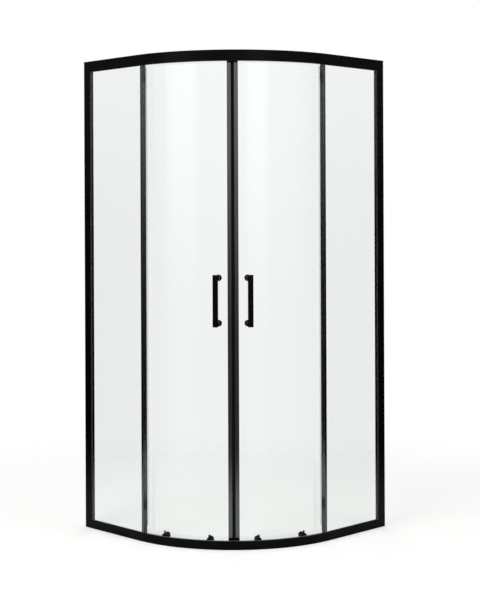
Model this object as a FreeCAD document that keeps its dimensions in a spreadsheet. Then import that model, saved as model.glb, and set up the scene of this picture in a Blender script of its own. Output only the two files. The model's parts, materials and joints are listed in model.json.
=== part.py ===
import FreeCAD, Part
import math
import operator
import os
import Sketcher
from FreeCAD import Placement, Rotation, Vector

# Corner shower enclosure: a quarter-round plan with two fixed panes on the straight sides and two
# curved doors that roll apart round the bend. Millimetres and degrees, +Z up. The plan's square corner is
# at low X and high Y, and the bend faces the other way. Depths are measured inwards from the rails' outer
# face, and runs along a straight side from the end of the bend towards its post.
DIMENSIONS = {
    # Whole enclosure
    "side_length": 890,
    "curve_radius": 545,
    "overall_height": 1950,
    "diagonal_turn": 315,
    "half_bend": 45,
    "cut_overrun": 1,
    # Bent rails
    "rail_depth": 34,
    "rail_wall": 2,
    "top_rail_height": 43.5,
    "bottom_rail_height": 34.5,
    "glass_slot_width": 9,
    "glass_slot_depth": 13,
    "slot_floor_height": 4,
    "track_lip": 3,
    "edge_break": 0.8,
    # Wall posts, wall profiles and post caps
    "post_reach": 41,
    "post_wall_gap": 5,
    "post_depth": 22,
    "post_skin": 1.8,
    "post_slot_depth": 10,
    "post_web": 2,
    "post_cap_thickness": 3,
    "cap_plug_depth": 8,
    "plug_clearance": 0.2,
    "wall_profile_skin": 1.8,
    "slide_gap": 0.2,
    "slide_end_gap": 0.5,
    "wall_hole_diameter": 6,
    "wall_hole_inset": 200,
    # Frame screws and rail corner blocks
    "screw_diameter": 4,
    "screw_head_diameter": 8.4,
    "screw_head_height": 2.4,
    "screw_crown": 0.8,
    "screw_socket_diameter": 3,
    "screw_socket_depth": 1.4,
    "screw_hole_clearance": 0.15,
    "adjust_screw_inset": 120,
    "adjust_screw_setback": 24,
    "adjust_screw_reach": 7,
    "corner_block_length": 20,
    "corner_block_height": 18,
    "corner_block_clearance": 0.2,
    "corner_screw_depth": 17.6,
    "corner_screw_reach": 8,
    # Fixed panes, stiles and their seals
    "glass_thickness": 5,
    "glass_edge_clearance": 2,
    "stile_lead": 29,
    "stile_width": 11,
    "stile_setback": 2,
    "stile_depth": 20,
    "stile_skin": 1.6,
    "stile_bite": 5,
    "bond_gap": 0.2,
    "gasket_gap": 0.35,
    "gasket_proud": 1.2,
    "infill_gap": 0.1,
    "infill_skin": 1.5,
    "brush_base_width": 7,
    "brush_base_depth": 2.5,
    "brush_pile_width": 3,
    "brush_pile_clearance": 0.5,
    "brush_bottom": 60,
    "brush_top_gap": 6,
    # Door stops
    "stop_length": 12,
    "stop_height": 14,
    "stop_clearance": 0.6,
    "stop_side_gap": 0.2,
    "door_travel": 24,
    # Curved door panes
    "door_clearance": 2,
    "door_bottom": 16,
    "door_top_gap": 2,
    "door_overlap_angle": 0.4,
    "glass_gap": 0.2,
    # Meeting profiles and magnetic seals
    "meeting_gap": 0.06,
    "magnet_width": 5.7,
    "magnet_depth": 11,
    "magnet_tongue_width": 4.6,
    "magnet_tongue_length": 1.8,
    "tongue_clearance": 0.1,
    "meeting_profile_width": 16.1,
    "meeting_profile_depth": 14,
    "meeting_web": 3.4,
    "meeting_slot_gap": 0.5,
    "meeting_bottom": 14,
    "meeting_top_gap": 2,
    # Door edge seals
    "seal_skin": 0.9,
    "seal_clearance": 0.2,
    "seal_leg": 10,
    "seal_nose": 2.4,
    "drip_leg": 4,
    "drip_fin_drop": 7,
    "drip_fin_width": 1.6,
    "drip_end_angle": 0.6,
    # Handles
    "handle_angle": 6.4,
    "handle_height": 970,
    "handle_length": 204,
    "handle_width": 21.5,
    "handle_thickness": 13,
    "handle_standoff": 40,
    "handle_side_offset": 7,
    "handle_round": 5,
    "handle_end_round": 1.5,
    "handle_post_inset": 13,
    "handle_post_base_radius": 13,
    "handle_post_base": 2.5,
    "handle_post_flare": 9,
    "handle_post_radius": 8,
    "handle_stud_radius": 4,
    "handle_stud_reach": 6,
    "handle_hole_radius": 6,
    "handle_nut_radius": 11,
    "handle_nut_height": 9.5,
    "washer_thickness": 1,
    "washer_radius": 12,
    "washer_clearance": 0.3,
    # Rollers
    "leading_roller_angle": 10.5,
    "trailing_roller_angle": 32,
    "wheel_radius": 9,
    "wheel_width": 5,
    "wheel_hub_radius": 4.4,
    "wheel_rim_inner_radius": 7,
    "wheel_recess": 0.8,
    "wheel_edge": 0.6,
    "wheel_running_gap": 0.3,
    "bore_clearance": 0.05,
    "axle_radius": 2.5,
    "axle_head_radius": 4,
    "axle_head_thickness": 1,
    "axle_side_gap": 0.2,
    "axle_seat": 11.4,
    "press_clearance": 0.02,
    "hub_radius": 5.5,
    "hub_flange_radius": 10,
    "hub_flange_thickness": 1.2,
    "hub_spigot_reach": 2.4,
    "roller_hole_clearance": 0.5,
    "roller_cap_radius": 13,
    "roller_cap_height": 9,
    "roller_cap_edge": 1.5,
    "roller_cap_socket_radius": 3.5,
    "roller_cap_socket_depth": 2,
    "housing_half_width": 16.5,
    "housing_bottom": 7.3,
    "housing_shoulder": 25.5,
    "housing_outer_depth": 23,
    "housing_inner_depth": 34.4,
    "housing_edge": 1.2,
    "collar_radius": 4,
    "housing_mount_height": 33,
    "housing_spigot_radius": 4.8,
    "lower_cap_radius": 12,
    "lower_cap_height": 8,
    # Release buttons and their springs
    "button_radius": 3.5,
    "button_clearance": 0.3,
    "button_depth": 28.7,
    "button_offset": 3,
    "button_top": 52,
    "button_foot": 31,
    "button_crown": 1.2,
    "button_well": 22,
    "spring_coil_radius": 2.6,
    "spring_wire_radius": 0.4,
    "spring_turns": 4,
    "spring_end_gap": 0.3,
}

OPERATIONS = {"+": operator.add, "-": operator.sub, "*": operator.mul, "/": operator.truediv}


class Size:
    """A length or an angle: its number, and the expression that binds it to the sheet."""

    def __init__(self, number, text):
        self.number = number
        self.text = text

    def __add__(self, other):
        return joined(self, "+", other)

    def __radd__(self, other):
        return joined(other, "+", self)

    def __sub__(self, other):
        return joined(self, "-", other)

    def __rsub__(self, other):
        return joined(other, "-", self)

    def __mul__(self, other):
        return joined(self, "*", other)

    def __truediv__(self, other):
        return joined(self, "/", other)

    def __neg__(self):
        return Size(-self.number, f"(-{self.text})")


def as_size(value):
    return value if isinstance(value, Size) else Size(float(value), str(value))


def joined(left, sign, right):
    left = as_size(left)
    right = as_size(right)
    return Size(OPERATIONS[sign](left.number, right.number), f"({left.text} {sign} {right.text})")


def sine(angle):
    return Size(math.sin(math.radians(angle.number)), f"sin({angle.text})")


def cosine(angle):
    return Size(math.cos(math.radians(angle.number)), f"cos({angle.text})")


def arc_angle(arc, radius):
    """The angle in degrees that an arc of this length spans."""
    return arc / radius * as_size(180) / Size(math.pi, "pi")


doc = FreeCAD.newDocument("shower_enclosure")
sheet = doc.addObject("Spreadsheet::Sheet", "Sizes")


class Sizes:
    """The sheet's sizes, each under its own name."""


s = Sizes()
for row, (name, number) in enumerate(DIMENSIONS.items(), start=1):
    sheet.set(f"A{row}", name)
    sheet.set(f"B{row}", str(number))
    sheet.setAlias(f"B{row}", name)
    setattr(s, name, Size(float(number), f"Sizes.{name}"))
doc.recompute()

subparts = []

# Levels and depths that several pieces share
half_side = s.side_length / 2
centre_x = half_side - s.curve_radius
centre_y = s.curve_radius - half_side
wall_run = s.side_length - s.curve_radius
post_front = wall_run - s.post_reach
post_back = wall_run - s.post_wall_gap
post_cavity = post_front + s.post_slot_depth + s.post_web
frame_top = s.overall_height - s.post_cap_thickness
slot_inner = s.rail_wall + s.glass_slot_width
slot_flange = slot_inner + s.rail_wall
track_inner = s.rail_depth - s.rail_wall
top_rail_base = s.overall_height - s.top_rail_height
ledge_under = top_rail_base + s.glass_slot_depth
ledge_top = ledge_under + s.rail_wall
glazing = (s.glass_slot_width - s.glass_thickness) / 2
pane_outer = s.rail_wall + glazing
pane_inner = pane_outer + s.glass_thickness
stile_start = -s.stile_lead
stile_end = stile_start + s.stile_width
pane_front = stile_end - s.stile_bite
pane_back = post_front + s.post_slot_depth - s.glass_edge_clearance
pane_bottom = s.slot_floor_height + s.glass_edge_clearance
pane_top = ledge_under - s.glass_edge_clearance
door_outer = s.rail_depth + s.door_clearance
door_inner = door_outer + s.glass_thickness
door_top = s.overall_height - s.door_top_gap
door_end = s.half_bend + s.door_overlap_angle
meeting_top = ledge_under - s.meeting_top_gap
profile_front = s.meeting_gap / 2 + s.magnet_width
profile_back = profile_front + s.meeting_profile_width
profile_outer = (door_outer + door_inner - s.meeting_profile_depth) / 2
profile_inner = profile_outer + s.meeting_profile_depth
door_front_run = profile_front + s.meeting_web + s.bond_gap
axle_head_front = slot_flange + s.wheel_running_gap
wheel_front = axle_head_front + s.axle_head_thickness + s.axle_side_gap
wheel_back = wheel_front + s.wheel_width
hub_front = wheel_back + s.wheel_running_gap
axle_end = hub_front + s.axle_seat
upper_axle_height = ledge_top + s.wheel_radius + s.wheel_running_gap
lower_axle_height = s.rail_wall + s.wheel_radius + s.wheel_running_gap
straight_turn = s.diagonal_turn + s.half_bend


def radius_at(depth):
    """Distance from the bend's axis of a face at this depth."""
    return s.curve_radius - depth


def bind(item, prop, size):
    item.setExpression(prop, as_size(size).text)


def origin_plane(owner, role):
    return next(item for item in owner.Origin.OriginFeatures if item.Role == role)


def piece(label, turn, out=0, run=0, height=0, spin=0):
    """A body whose X axis points outwards and Y axis along the run, seen from the bend's axis."""
    owner = doc.addObject("PartDesign::Body", label)
    owner.Label = label
    out = as_size(out)
    run = as_size(run)
    place_x = centre_x + out * cosine(turn) - run * sine(turn)
    place_y = centre_y + out * sine(turn) + run * cosine(turn)
    angle = turn + spin
    base = Vector(place_x.number, place_y.number, as_size(height).number)
    owner.Placement = Placement(base, Rotation(Vector(0, 0, 1), angle.number))
    bind(owner, "Placement.Base.x", place_x)
    bind(owner, "Placement.Base.y", place_y)
    bind(owner, "Placement.Base.z", height)
    bind(owner, "Placement.Rotation.Angle", angle)
    return owner


def sketch_on(owner, role, offset=0, tilt=None):
    """A sketch on one of the body's planes, moved along its normal or tilted about its own Y axis."""
    drawing = owner.newObject("Sketcher::SketchObject", "Sketch")
    drawing.AttachmentSupport = (origin_plane(owner, role), [""])
    drawing.MapMode = "FlatFace"
    rotation = Rotation()
    if tilt is not None:
        rotation = Rotation(Vector(0, 1, 0), tilt.number)
    drawing.AttachmentOffset = Placement(Vector(0, 0, as_size(offset).number), rotation)
    bind(drawing, "AttachmentOffset.Base.z", offset)
    if tilt is not None:
        bind(drawing, "AttachmentOffset.Rotation.Angle", tilt)
    return drawing


def hold(drawing, kind, geometry, point, size):
    """Hold a point at a bound distance from the sketch's origin, or on its axis where that is zero."""
    size = as_size(size)
    if size.text == "0":
        axis = {"DistanceX": -2, "DistanceY": -1}[kind]
        drawing.addConstraint(Sketcher.Constraint("PointOnObject", geometry, point, axis))
        return
    index = drawing.addConstraint(Sketcher.Constraint(kind, -1, 1, geometry, point, size.number))
    bind(drawing, f"Constraints[{index}]", size)


def outline(drawing, points):
    """A closed outline of straight lines through points given in named sizes."""
    first = drawing.GeometryCount
    corners = [Vector(as_size(across).number, as_size(up).number, 0) for across, up in points]
    following = corners[1:] + corners[:1]
    drawing.addGeometry([Part.LineSegment(a, b) for a, b in zip(corners, following)])
    count = len(points)
    drawing.addConstraint([
        Sketcher.Constraint("Coincident", first + index, 2, first + (index + 1) % count, 1)
        for index in range(count)
    ])
    for index, (across, up) in enumerate(points):
        hold(drawing, "DistanceX", first + index, 1, across)
        hold(drawing, "DistanceY", first + index, 1, up)
    return drawing


def circle(drawing, across, up, radius):
    centre = Vector(as_size(across).number, as_size(up).number, 0)
    index = drawing.addGeometry(Part.Circle(centre, Vector(0, 0, 1), radius.number))
    bound = drawing.addConstraint(Sketcher.Constraint("Radius", index, radius.number))
    bind(drawing, f"Constraints[{bound}]", radius)
    hold(drawing, "DistanceX", index, 3, across)
    hold(drawing, "DistanceY", index, 3, up)
    return drawing


def pad(owner, drawing, length, backwards=False):
    feature = owner.newObject("PartDesign::Pad", "Pad")
    feature.Profile = drawing
    feature.Length = length.number
    bind(feature, "Length", length)
    feature.Reversed = backwards
    doc.recompute()
    return feature


def pocket(owner, drawing, length=None, backwards=False):
    """Cut a sketch into a body, right through unless a length is given, and see that it cuts."""
    before = owner.Shape.Volume
    feature = owner.newObject("PartDesign::Pocket", "Pocket")
    feature.Profile = drawing
    feature.Reversed = backwards
    if length is None:
        feature.Type = "ThroughAll"
    else:
        feature.Length = length.number
        bind(feature, "Length", length)
    doc.recompute()
    if not owner.Shape.Volume < before:
        raise RuntimeError(f"a cut in {owner.Label} removes nothing")
    return feature


def upright(owner, points, low, high, holes=()):
    """Extrude a plan section of (depth, run) points upwards from one level to another."""
    drawing = sketch_on(owner, "XY_Plane", low)
    for loop in (points, *holes):
        outline(drawing, [(radius_at(depth), run) for depth, run in loop])
    return pad(owner, drawing, high - low)


def along_run(owner, points, start, end):
    """Extrude a cross-section of (depth, height) points along the run."""
    drawing = sketch_on(owner, "XZ_Plane", -start)
    outline(drawing, [(radius_at(depth), height) for depth, height in points])
    return pad(owner, drawing, end - start, backwards=True)


def round_bend(owner, points, angle):
    """Sweep a cross-section of (depth, height) points round the bend's axis."""
    drawing = sketch_on(owner, "XZ_Plane")
    outline(drawing, [(radius_at(depth), height) for depth, height in points])
    return revolve(owner, drawing, "V_Axis", angle)


def turned(owner, points):
    """Turn a profile of (depth, radius) points about the body's radial axis."""
    drawing = sketch_on(owner, "XY_Plane")
    outline(drawing, [(radius_at(depth), radius) for depth, radius in points])
    return revolve(owner, drawing, "H_Axis")


def revolve(owner, drawing, axis, angle=None):
    feature = owner.newObject("PartDesign::Revolution", "Revolution")
    feature.Profile = drawing
    feature.ReferenceAxis = (drawing, [axis])
    if angle is not None:
        feature.Angle = angle.number
        bind(feature, "Angle", angle)
    doc.recompute()
    return feature


def outward_disc(owner, run, height, radius, outer, inner):
    """A disc or peg lying across the wall of a door, from one depth to another."""
    drawing = sketch_on(owner, "YZ_Plane", radius_at(inner))
    circle(drawing, run, height, radius)
    return pad(owner, drawing, inner - outer)


def edges_where(owner, wanted):
    """Names of the edges on a body's tip whose shape the test accepts."""
    edges = owner.Tip.Shape.Edges
    return [f"Edge{number}" for number, edge in enumerate(edges, start=1) if wanted(edge)]


def dress(owner, kind, prop, names, size):
    """Round or bevel the named edges of a body's tip."""
    base = owner.Tip
    feature = owner.newObject(f"PartDesign::{kind}", kind)
    feature.Base = (base, names)
    bind(feature, prop, size)
    doc.recompute()
    return feature


def keep(node, item):
    item.Label = node
    subparts.append(item)
    return item


def group(label, members):
    """Several separate solids held as one item."""
    compound = doc.addObject("Part::Compound", label)
    compound.Links = members
    compound.Label = label
    doc.recompute()
    return compound


def mirrored(label, source):
    """The left-hand twin of a right-hand piece, across the plane through the plan's square corner."""
    twin = doc.addObject("Part::Mirroring", label)
    twin.Source = source
    twin.Base = Vector(0, 0, 0)
    twin.Normal = Vector(1, 1, 0)
    twin.Label = label
    doc.recompute()
    return twin


def both_hands(name, item):
    """Keep a right-hand piece and its left-hand twin as two nodes."""
    keep(f"right_{name}", item)
    keep(f"left_{name}", mirrored(f"left_{name}", item))


def both_sides(node, members):
    """Keep right-hand pieces and their twins as one node."""
    twins = [mirrored(f"{member.Label}_twin", member) for member in members]
    keep(node, group(node, members + twins))


def bent_rail(node, points):
    """A rail bent in one piece: a straight run, a quarter of the bend and a second straight run."""
    owner = piece(node, straight_turn)
    path = sketch_on(owner, "XY_Plane")
    radius = s.curve_radius.number
    reach = post_front.number
    path.addGeometry(Part.LineSegment(Vector(-reach, -radius, 0), Vector(0, -radius, 0)))
    bend = Part.Circle(Vector(0, 0, 0), Vector(0, 0, 1), radius)
    path.addGeometry(Part.ArcOfCircle(bend, -math.pi / 2, 0))
    path.addGeometry(Part.LineSegment(Vector(radius, 0, 0), Vector(radius, reach, 0)))
    path.addConstraint([
        Sketcher.Constraint("Tangent", 0, 2, 1, 1),
        Sketcher.Constraint("Tangent", 1, 2, 2, 1),
        Sketcher.Constraint("Coincident", 1, 3, -1, 1),
        Sketcher.Constraint("Horizontal", 0),
        Sketcher.Constraint("Vertical", 2),
    ])
    bound = path.addConstraint(Sketcher.Constraint("Radius", 1, radius))
    bind(path, f"Constraints[{bound}]", s.curve_radius)
    hold(path, "DistanceX", 0, 1, -post_front)
    hold(path, "DistanceY", 2, 2, post_front)
    section = sketch_on(owner, "YZ_Plane", -post_front)
    outline(section, [(depth - s.curve_radius, height) for depth, height in points])
    sweep = owner.newObject("PartDesign::AdditivePipe", "Sweep")
    sweep.Profile = section
    sweep.Spine = (path, ["Edge1", "Edge2", "Edge3"])
    doc.recompute()
    keep(node, owner)


def top_rail():
    """An outer face, a glass slot below and a roller ledge above it that opens to the inside."""
    wall = s.rail_wall
    depth = s.rail_depth
    top = s.overall_height
    base = top_rail_base
    brk = s.edge_break
    bent_rail("top_rail", [
        (brk, base),
        (0, base + brk),
        (0, top - brk),
        (brk, top),
        (depth - brk, top),
        (depth, top - brk),
        (depth, top - wall),
        (wall, top - wall),
        (wall, ledge_top),
        (track_inner, ledge_top),
        (track_inner, ledge_top + s.track_lip),
        (depth, ledge_top + s.track_lip),
        (depth, ledge_under),
        (slot_flange, ledge_under),
        (slot_flange, base),
        (slot_inner, base),
        (slot_inner, ledge_under),
        (wall, ledge_under),
        (wall, base),
    ])


def bottom_rail():
    """A glass slot along the outer face and a roller trough behind it."""
    wall = s.rail_wall
    depth = s.rail_depth
    top = s.bottom_rail_height
    brk = s.edge_break
    lip_top = wall + s.track_lip
    bent_rail("bottom_rail", [
        (0, 0),
        (depth, 0),
        (depth, lip_top),
        (track_inner, lip_top),
        (track_inner, wall),
        (slot_flange, wall),
        (slot_flange, top),
        (slot_inner, top),
        (slot_inner, s.slot_floor_height),
        (wall, s.slot_floor_height),
        (wall, top),
        (brk, top),
        (0, top - brk),
    ])


def corner_screw_heights():
    half_block = s.corner_block_height / 2
    return s.rail_wall + half_block, ledge_top + half_block


def adjust_screw_heights():
    return s.adjust_screw_inset, frame_top / 2, frame_top - s.adjust_screw_inset


def adjust_holes(owner, face_depth, thickness):
    """Clearance holes for the adjusting screws, cut outwards from the face at this depth."""
    drawing = sketch_on(owner, "YZ_Plane", radius_at(face_depth + s.cut_overrun))
    for height in adjust_screw_heights():
        circle(drawing, post_front + s.adjust_screw_setback, height,
               s.screw_diameter / 2 + s.screw_hole_clearance)
    pocket(owner, drawing, thickness + s.cut_overrun * 2, backwards=True)


def frame_post():
    """The post that takes the pane's edge and slides over the wall profile."""
    owner = piece("right_frame_post", straight_turn)
    skin = s.post_skin
    depth = s.post_depth
    slot_end = post_front + s.post_slot_depth
    brk = s.edge_break
    section = [
        (brk, post_front),
        (s.rail_wall, post_front),
        (s.rail_wall, slot_end),
        (slot_inner, slot_end),
        (slot_inner, post_front),
        (depth - brk, post_front),
        (depth, post_front + brk),
        (depth, post_back),
        (depth - skin, post_back),
        (depth - skin, post_cavity),
        (skin, post_cavity),
        (skin, post_back),
        (0, post_back),
        (0, post_front + brk),
    ]
    chamber = [
        (slot_flange, post_front + s.post_web),
        (depth - skin, post_front + s.post_web),
        (depth - skin, slot_end),
        (slot_flange, slot_end),
    ]
    upright(owner, section, as_size(0), frame_top, [chamber])
    adjust_holes(owner, depth, skin)
    drawing = sketch_on(owner, "XZ_Plane", s.cut_overrun - post_front)
    for height in corner_screw_heights():
        circle(drawing, radius_at(s.corner_screw_depth), height,
               s.screw_diameter / 2 + s.screw_hole_clearance)
    pocket(owner, drawing, s.post_web + s.cut_overrun * 2)
    both_hands("frame_post", owner)


def wall_profile():
    """The channel that is screwed to the wall inside the post."""
    owner = piece("right_wall_profile", straight_turn)
    skin = s.wall_profile_skin
    outer = s.post_skin + s.slide_gap
    inner = s.post_depth - outer
    front = post_cavity + s.slide_end_gap
    section = [
        (outer, front),
        (outer + skin, front),
        (outer + skin, wall_run - skin),
        (inner - skin, wall_run - skin),
        (inner - skin, front),
        (inner, front),
        (inner, wall_run),
        (outer, wall_run),
    ]
    upright(owner, section, as_size(0), frame_top)
    drawing = sketch_on(owner, "XZ_Plane", -(wall_run + s.cut_overrun))
    for height in (s.wall_hole_inset, frame_top / 2, frame_top - s.wall_hole_inset):
        circle(drawing, radius_at(s.post_depth / 2), height, s.wall_hole_diameter / 2)
    pocket(owner, drawing, skin + s.cut_overrun * 2, backwards=True)
    adjust_holes(owner, inner, skin)
    both_hands("wall_profile", owner)


def post_caps():
    """A cover plate on each post with a plug in the post's chamber."""
    owner = piece("right_post_cap", straight_turn)
    plate = [(0, post_front), (s.post_depth, post_front), (s.post_depth, wall_run), (0, wall_run)]
    upright(owner, plate, frame_top, s.overall_height)
    top_edges = edges_where(owner, lambda edge: edge.BoundBox.ZMin > frame_top.number)
    dress(owner, "Chamfer", "Size", top_edges, s.edge_break)
    gap = s.plug_clearance
    plug = [
        (slot_flange + gap, post_front + s.post_web + gap),
        (s.post_depth - s.post_skin - gap, post_front + s.post_web + gap),
        (s.post_depth - s.post_skin - gap, post_front + s.post_slot_depth - gap),
        (slot_flange + gap, post_front + s.post_slot_depth - gap),
    ]
    upright(owner, plug, frame_top - s.cap_plug_depth, frame_top)
    both_sides("post_caps", [owner])


def screw(label, turn, out, run, height, spin, reach):
    """A socket-head screw along its body's X axis, with the head's seat at the origin."""
    owner = piece(label, turn, out, run, height, spin)
    shank = s.screw_diameter / 2
    head = s.screw_head_diameter / 2
    rise = s.screw_head_height
    socket = s.screw_socket_diameter / 2
    drawing = sketch_on(owner, "XY_Plane")
    outline(drawing, [
        (reach, 0),
        (reach, shank),
        (0, shank),
        (0, head),
        (-(rise - s.screw_crown), head),
        (-rise, head - s.screw_crown),
        (-rise, socket),
        (-(rise - s.screw_socket_depth), socket),
        (-(rise - s.screw_socket_depth), 0),
    ])
    revolve(owner, drawing, "H_Axis")
    return owner


def adjusting_screws():
    """Screws through the post's inner face that lock the post to the wall profile."""
    run = post_front + s.adjust_screw_setback
    seat = radius_at(s.post_depth)
    both_sides("adjusting_screws", [
        screw(f"adjusting_screw_{level}", straight_turn, seat, run, height, as_size(0), s.adjust_screw_reach)
        for level, height in enumerate(adjust_screw_heights(), start=1)
    ])


def corner_blocks():
    """Blocks in the rails' ends, and the screws that draw them to the posts."""
    outer = slot_flange + s.corner_block_clearance
    inner = track_inner - s.corner_block_clearance
    start = post_front - s.corner_block_length
    blocks = []
    screws = []
    floors = (s.rail_wall, ledge_top)
    for level, (floor, height) in enumerate(zip(floors, corner_screw_heights()), start=1):
        owner = piece(f"corner_block_{level}", straight_turn)
        top = floor + s.corner_block_height
        section = [(outer, floor), (inner, floor), (inner, top), (outer, top)]
        along_run(owner, section, start, post_front)
        drawing = sketch_on(owner, "XZ_Plane", s.cut_overrun - start)
        circle(drawing, radius_at(s.corner_screw_depth), height,
               s.screw_diameter / 2 + s.screw_hole_clearance)
        pocket(owner, drawing)
        blocks.append(owner)
        reach = s.corner_block_length + s.corner_screw_reach
        seat = radius_at(s.corner_screw_depth)
        quarter_turn = s.half_bend * 2
        screws.append(screw(f"corner_screw_{level}", straight_turn, seat, start, height,
                            quarter_turn, reach))
    both_sides("rail_corner_blocks", blocks)
    both_sides("rail_corner_screws", screws)


def fixed_glass():
    owner = piece("right_fixed_glass", straight_turn)
    section = [
        (pane_outer, pane_front),
        (pane_inner, pane_front),
        (pane_inner, pane_back),
        (pane_outer, pane_back),
    ]
    upright(owner, section, pane_bottom, pane_top)
    both_hands("fixed_glass", owner)


def stile():
    """The hollow profile on the fixed pane's free edge, a little way onto the bend."""
    owner = piece("right_stile", straight_turn)
    outer = s.stile_setback
    inner = outer + s.stile_depth
    skin = s.stile_skin
    brk = s.edge_break
    slot_outer = pane_outer - s.bond_gap
    slot_back = pane_inner + s.bond_gap
    slot_end = pane_front - s.bond_gap
    section = [
        (outer + brk, stile_start),
        (inner - brk, stile_start),
        (inner, stile_start + brk),
        (inner, stile_end),
        (slot_back, stile_end),
        (slot_back, slot_end),
        (slot_outer, slot_end),
        (slot_outer, stile_end),
        (outer, stile_end),
        (outer, stile_start + brk),
    ]
    chamber = [
        (slot_back + skin, stile_start + skin),
        (inner - skin, stile_start + skin),
        (inner - skin, stile_end - skin),
        (slot_back + skin, stile_end - skin),
    ]
    upright(owner, section, s.bottom_rail_height, top_rail_base, [chamber])
    both_hands("stile", owner)


def channel_section(outer, inner, closed, mouth, web, skin):
    """A U-shaped section between two depths, closed at one level and open at the other."""
    return [
        (outer, closed),
        (inner, closed),
        (inner, mouth),
        (inner - skin, mouth),
        (inner - skin, web),
        (outer + skin, web),
        (outer + skin, mouth),
        (outer, mouth),
    ]


def glazing_gaskets():
    """Soft channels round the fixed pane's edges in the rails and the post."""
    gap = s.gasket_gap
    outer = s.rail_wall + gap
    inner = slot_inner - gap
    skin = glazing - gap * 2
    bottom = piece("bottom_gasket", straight_turn)
    section = channel_section(outer, inner, s.slot_floor_height, s.bottom_rail_height + s.gasket_proud,
                              pane_bottom - gap, skin)
    along_run(bottom, section, stile_end, post_front)
    top = piece("top_gasket", straight_turn)
    section = channel_section(outer, inner, ledge_under, top_rail_base - s.gasket_proud,
                              pane_top + gap, skin)
    along_run(top, section, stile_end, post_front)
    side = piece("side_gasket", straight_turn)
    section = channel_section(outer, inner, post_front + s.post_slot_depth, post_front - s.gasket_proud,
                              pane_back + gap, skin)
    upright(side, section, s.bottom_rail_height + s.gasket_proud, top_rail_base - s.gasket_proud)
    both_sides("glazing_gaskets", [bottom, top, side])


def slot_infills():
    """Strips that close the rails' glass slots round the bend, from one stile to the other."""
    gap = s.infill_gap
    outer = s.rail_wall + gap
    inner = slot_inner - gap
    skin = s.infill_skin
    half_span = s.half_bend - arc_angle(s.stile_lead, radius_at(slot_inner))
    bend = half_span * 2
    start = s.diagonal_turn - half_span
    lower = piece("lower_infill", start)
    top = s.bottom_rail_height
    round_bend(lower, channel_section(outer, inner, top, s.slot_floor_height, top - skin, skin), bend)
    upper = piece("upper_infill", start)
    base = top_rail_base
    round_bend(upper, channel_section(outer, inner, base, ledge_under, base + skin, skin), bend)
    keep("slot_infills", group("slot_infills", [lower, upper]))


def brush_seals():
    """A base strip on each stile, with pile that reaches to the door."""
    owner = piece("right_brush_seal", straight_turn)
    base_outer = s.stile_setback + s.stile_depth
    base_inner = base_outer + s.brush_base_depth
    base_start = stile_start + (s.stile_width - s.brush_base_width) / 2
    base_end = base_start + s.brush_base_width
    pile_start = stile_start + (s.stile_width - s.brush_pile_width) / 2
    pile_end = pile_start + s.brush_pile_width
    door_face = radius_at(door_outer) * cosine(arc_angle(-pile_end, radius_at(door_outer)))
    pile_inner = s.curve_radius - door_face - s.brush_pile_clearance
    section = [
        (base_outer, base_start),
        (base_inner, base_start),
        (base_inner, pile_start),
        (pile_inner, pile_start),
        (pile_inner, pile_end),
        (base_inner, pile_end),
        (base_inner, base_end),
        (base_outer, base_end),
    ]
    upright(owner, section, s.brush_bottom, top_rail_base - s.brush_top_gap)
    both_sides("brush_seals", [owner])


def door_stops():
    """Rubber blocks in both tracks that the trailing wheels meet when a door is fully open."""
    past_bend = s.trailing_roller_angle + s.door_travel - s.half_bend
    wheel_centre = radius_at((wheel_front + wheel_back) / 2)
    start = wheel_centre * sine(past_bend) + s.wheel_radius + s.stop_clearance
    outer = slot_flange + s.stop_side_gap
    inner = track_inner - s.stop_side_gap
    stops = []
    for level, floor in enumerate((s.rail_wall, ledge_top), start=1):
        owner = piece(f"door_stop_{level}", straight_turn)
        top = floor + s.stop_height
        section = [(outer, floor), (inner, floor), (inner, top), (outer, top)]
        along_run(owner, section, start, start + s.stop_length)
        bumper = edges_where(owner, lambda edge: edge.BoundBox.YMax < start.number + s.cut_overrun.number)
        dress(owner, "Chamfer", "Size", bumper, s.edge_break)
        stops.append(owner)
    both_sides("door_stops", stops)


ROLLER_ANGLES = {"leading": s.leading_roller_angle, "trailing": s.trailing_roller_angle}


def handle_post_heights():
    reach = s.handle_length / 2 - s.handle_post_inset
    return s.handle_height - reach, s.handle_height + reach


def door_glass():
    """A curved pane from inside the meeting profile to just past the stile, with its fittings' holes."""
    first = arc_angle(door_front_run, radius_at(door_outer))
    owner = piece("right_door_glass", s.diagonal_turn + first)
    section = [
        (door_outer, s.door_bottom),
        (door_inner, s.door_bottom),
        (door_inner, door_top),
        (door_outer, door_top),
    ]
    round_bend(owner, section, door_end - first)
    holes = [(s.handle_angle, height, s.handle_hole_radius) for height in handle_post_heights()]
    for angle in ROLLER_ANGLES.values():
        holes.append((angle, upper_axle_height, s.hub_radius + s.roller_hole_clearance))
        holes.append((angle, s.housing_mount_height, s.housing_spigot_radius + s.roller_hole_clearance))
    for angle, height, radius in holes:
        drawing = sketch_on(owner, "YZ_Plane", tilt=angle - first)
        circle(drawing, 0, height, radius)
        pocket(owner, drawing, backwards=True)
    both_hands("door_glass", owner)


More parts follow.
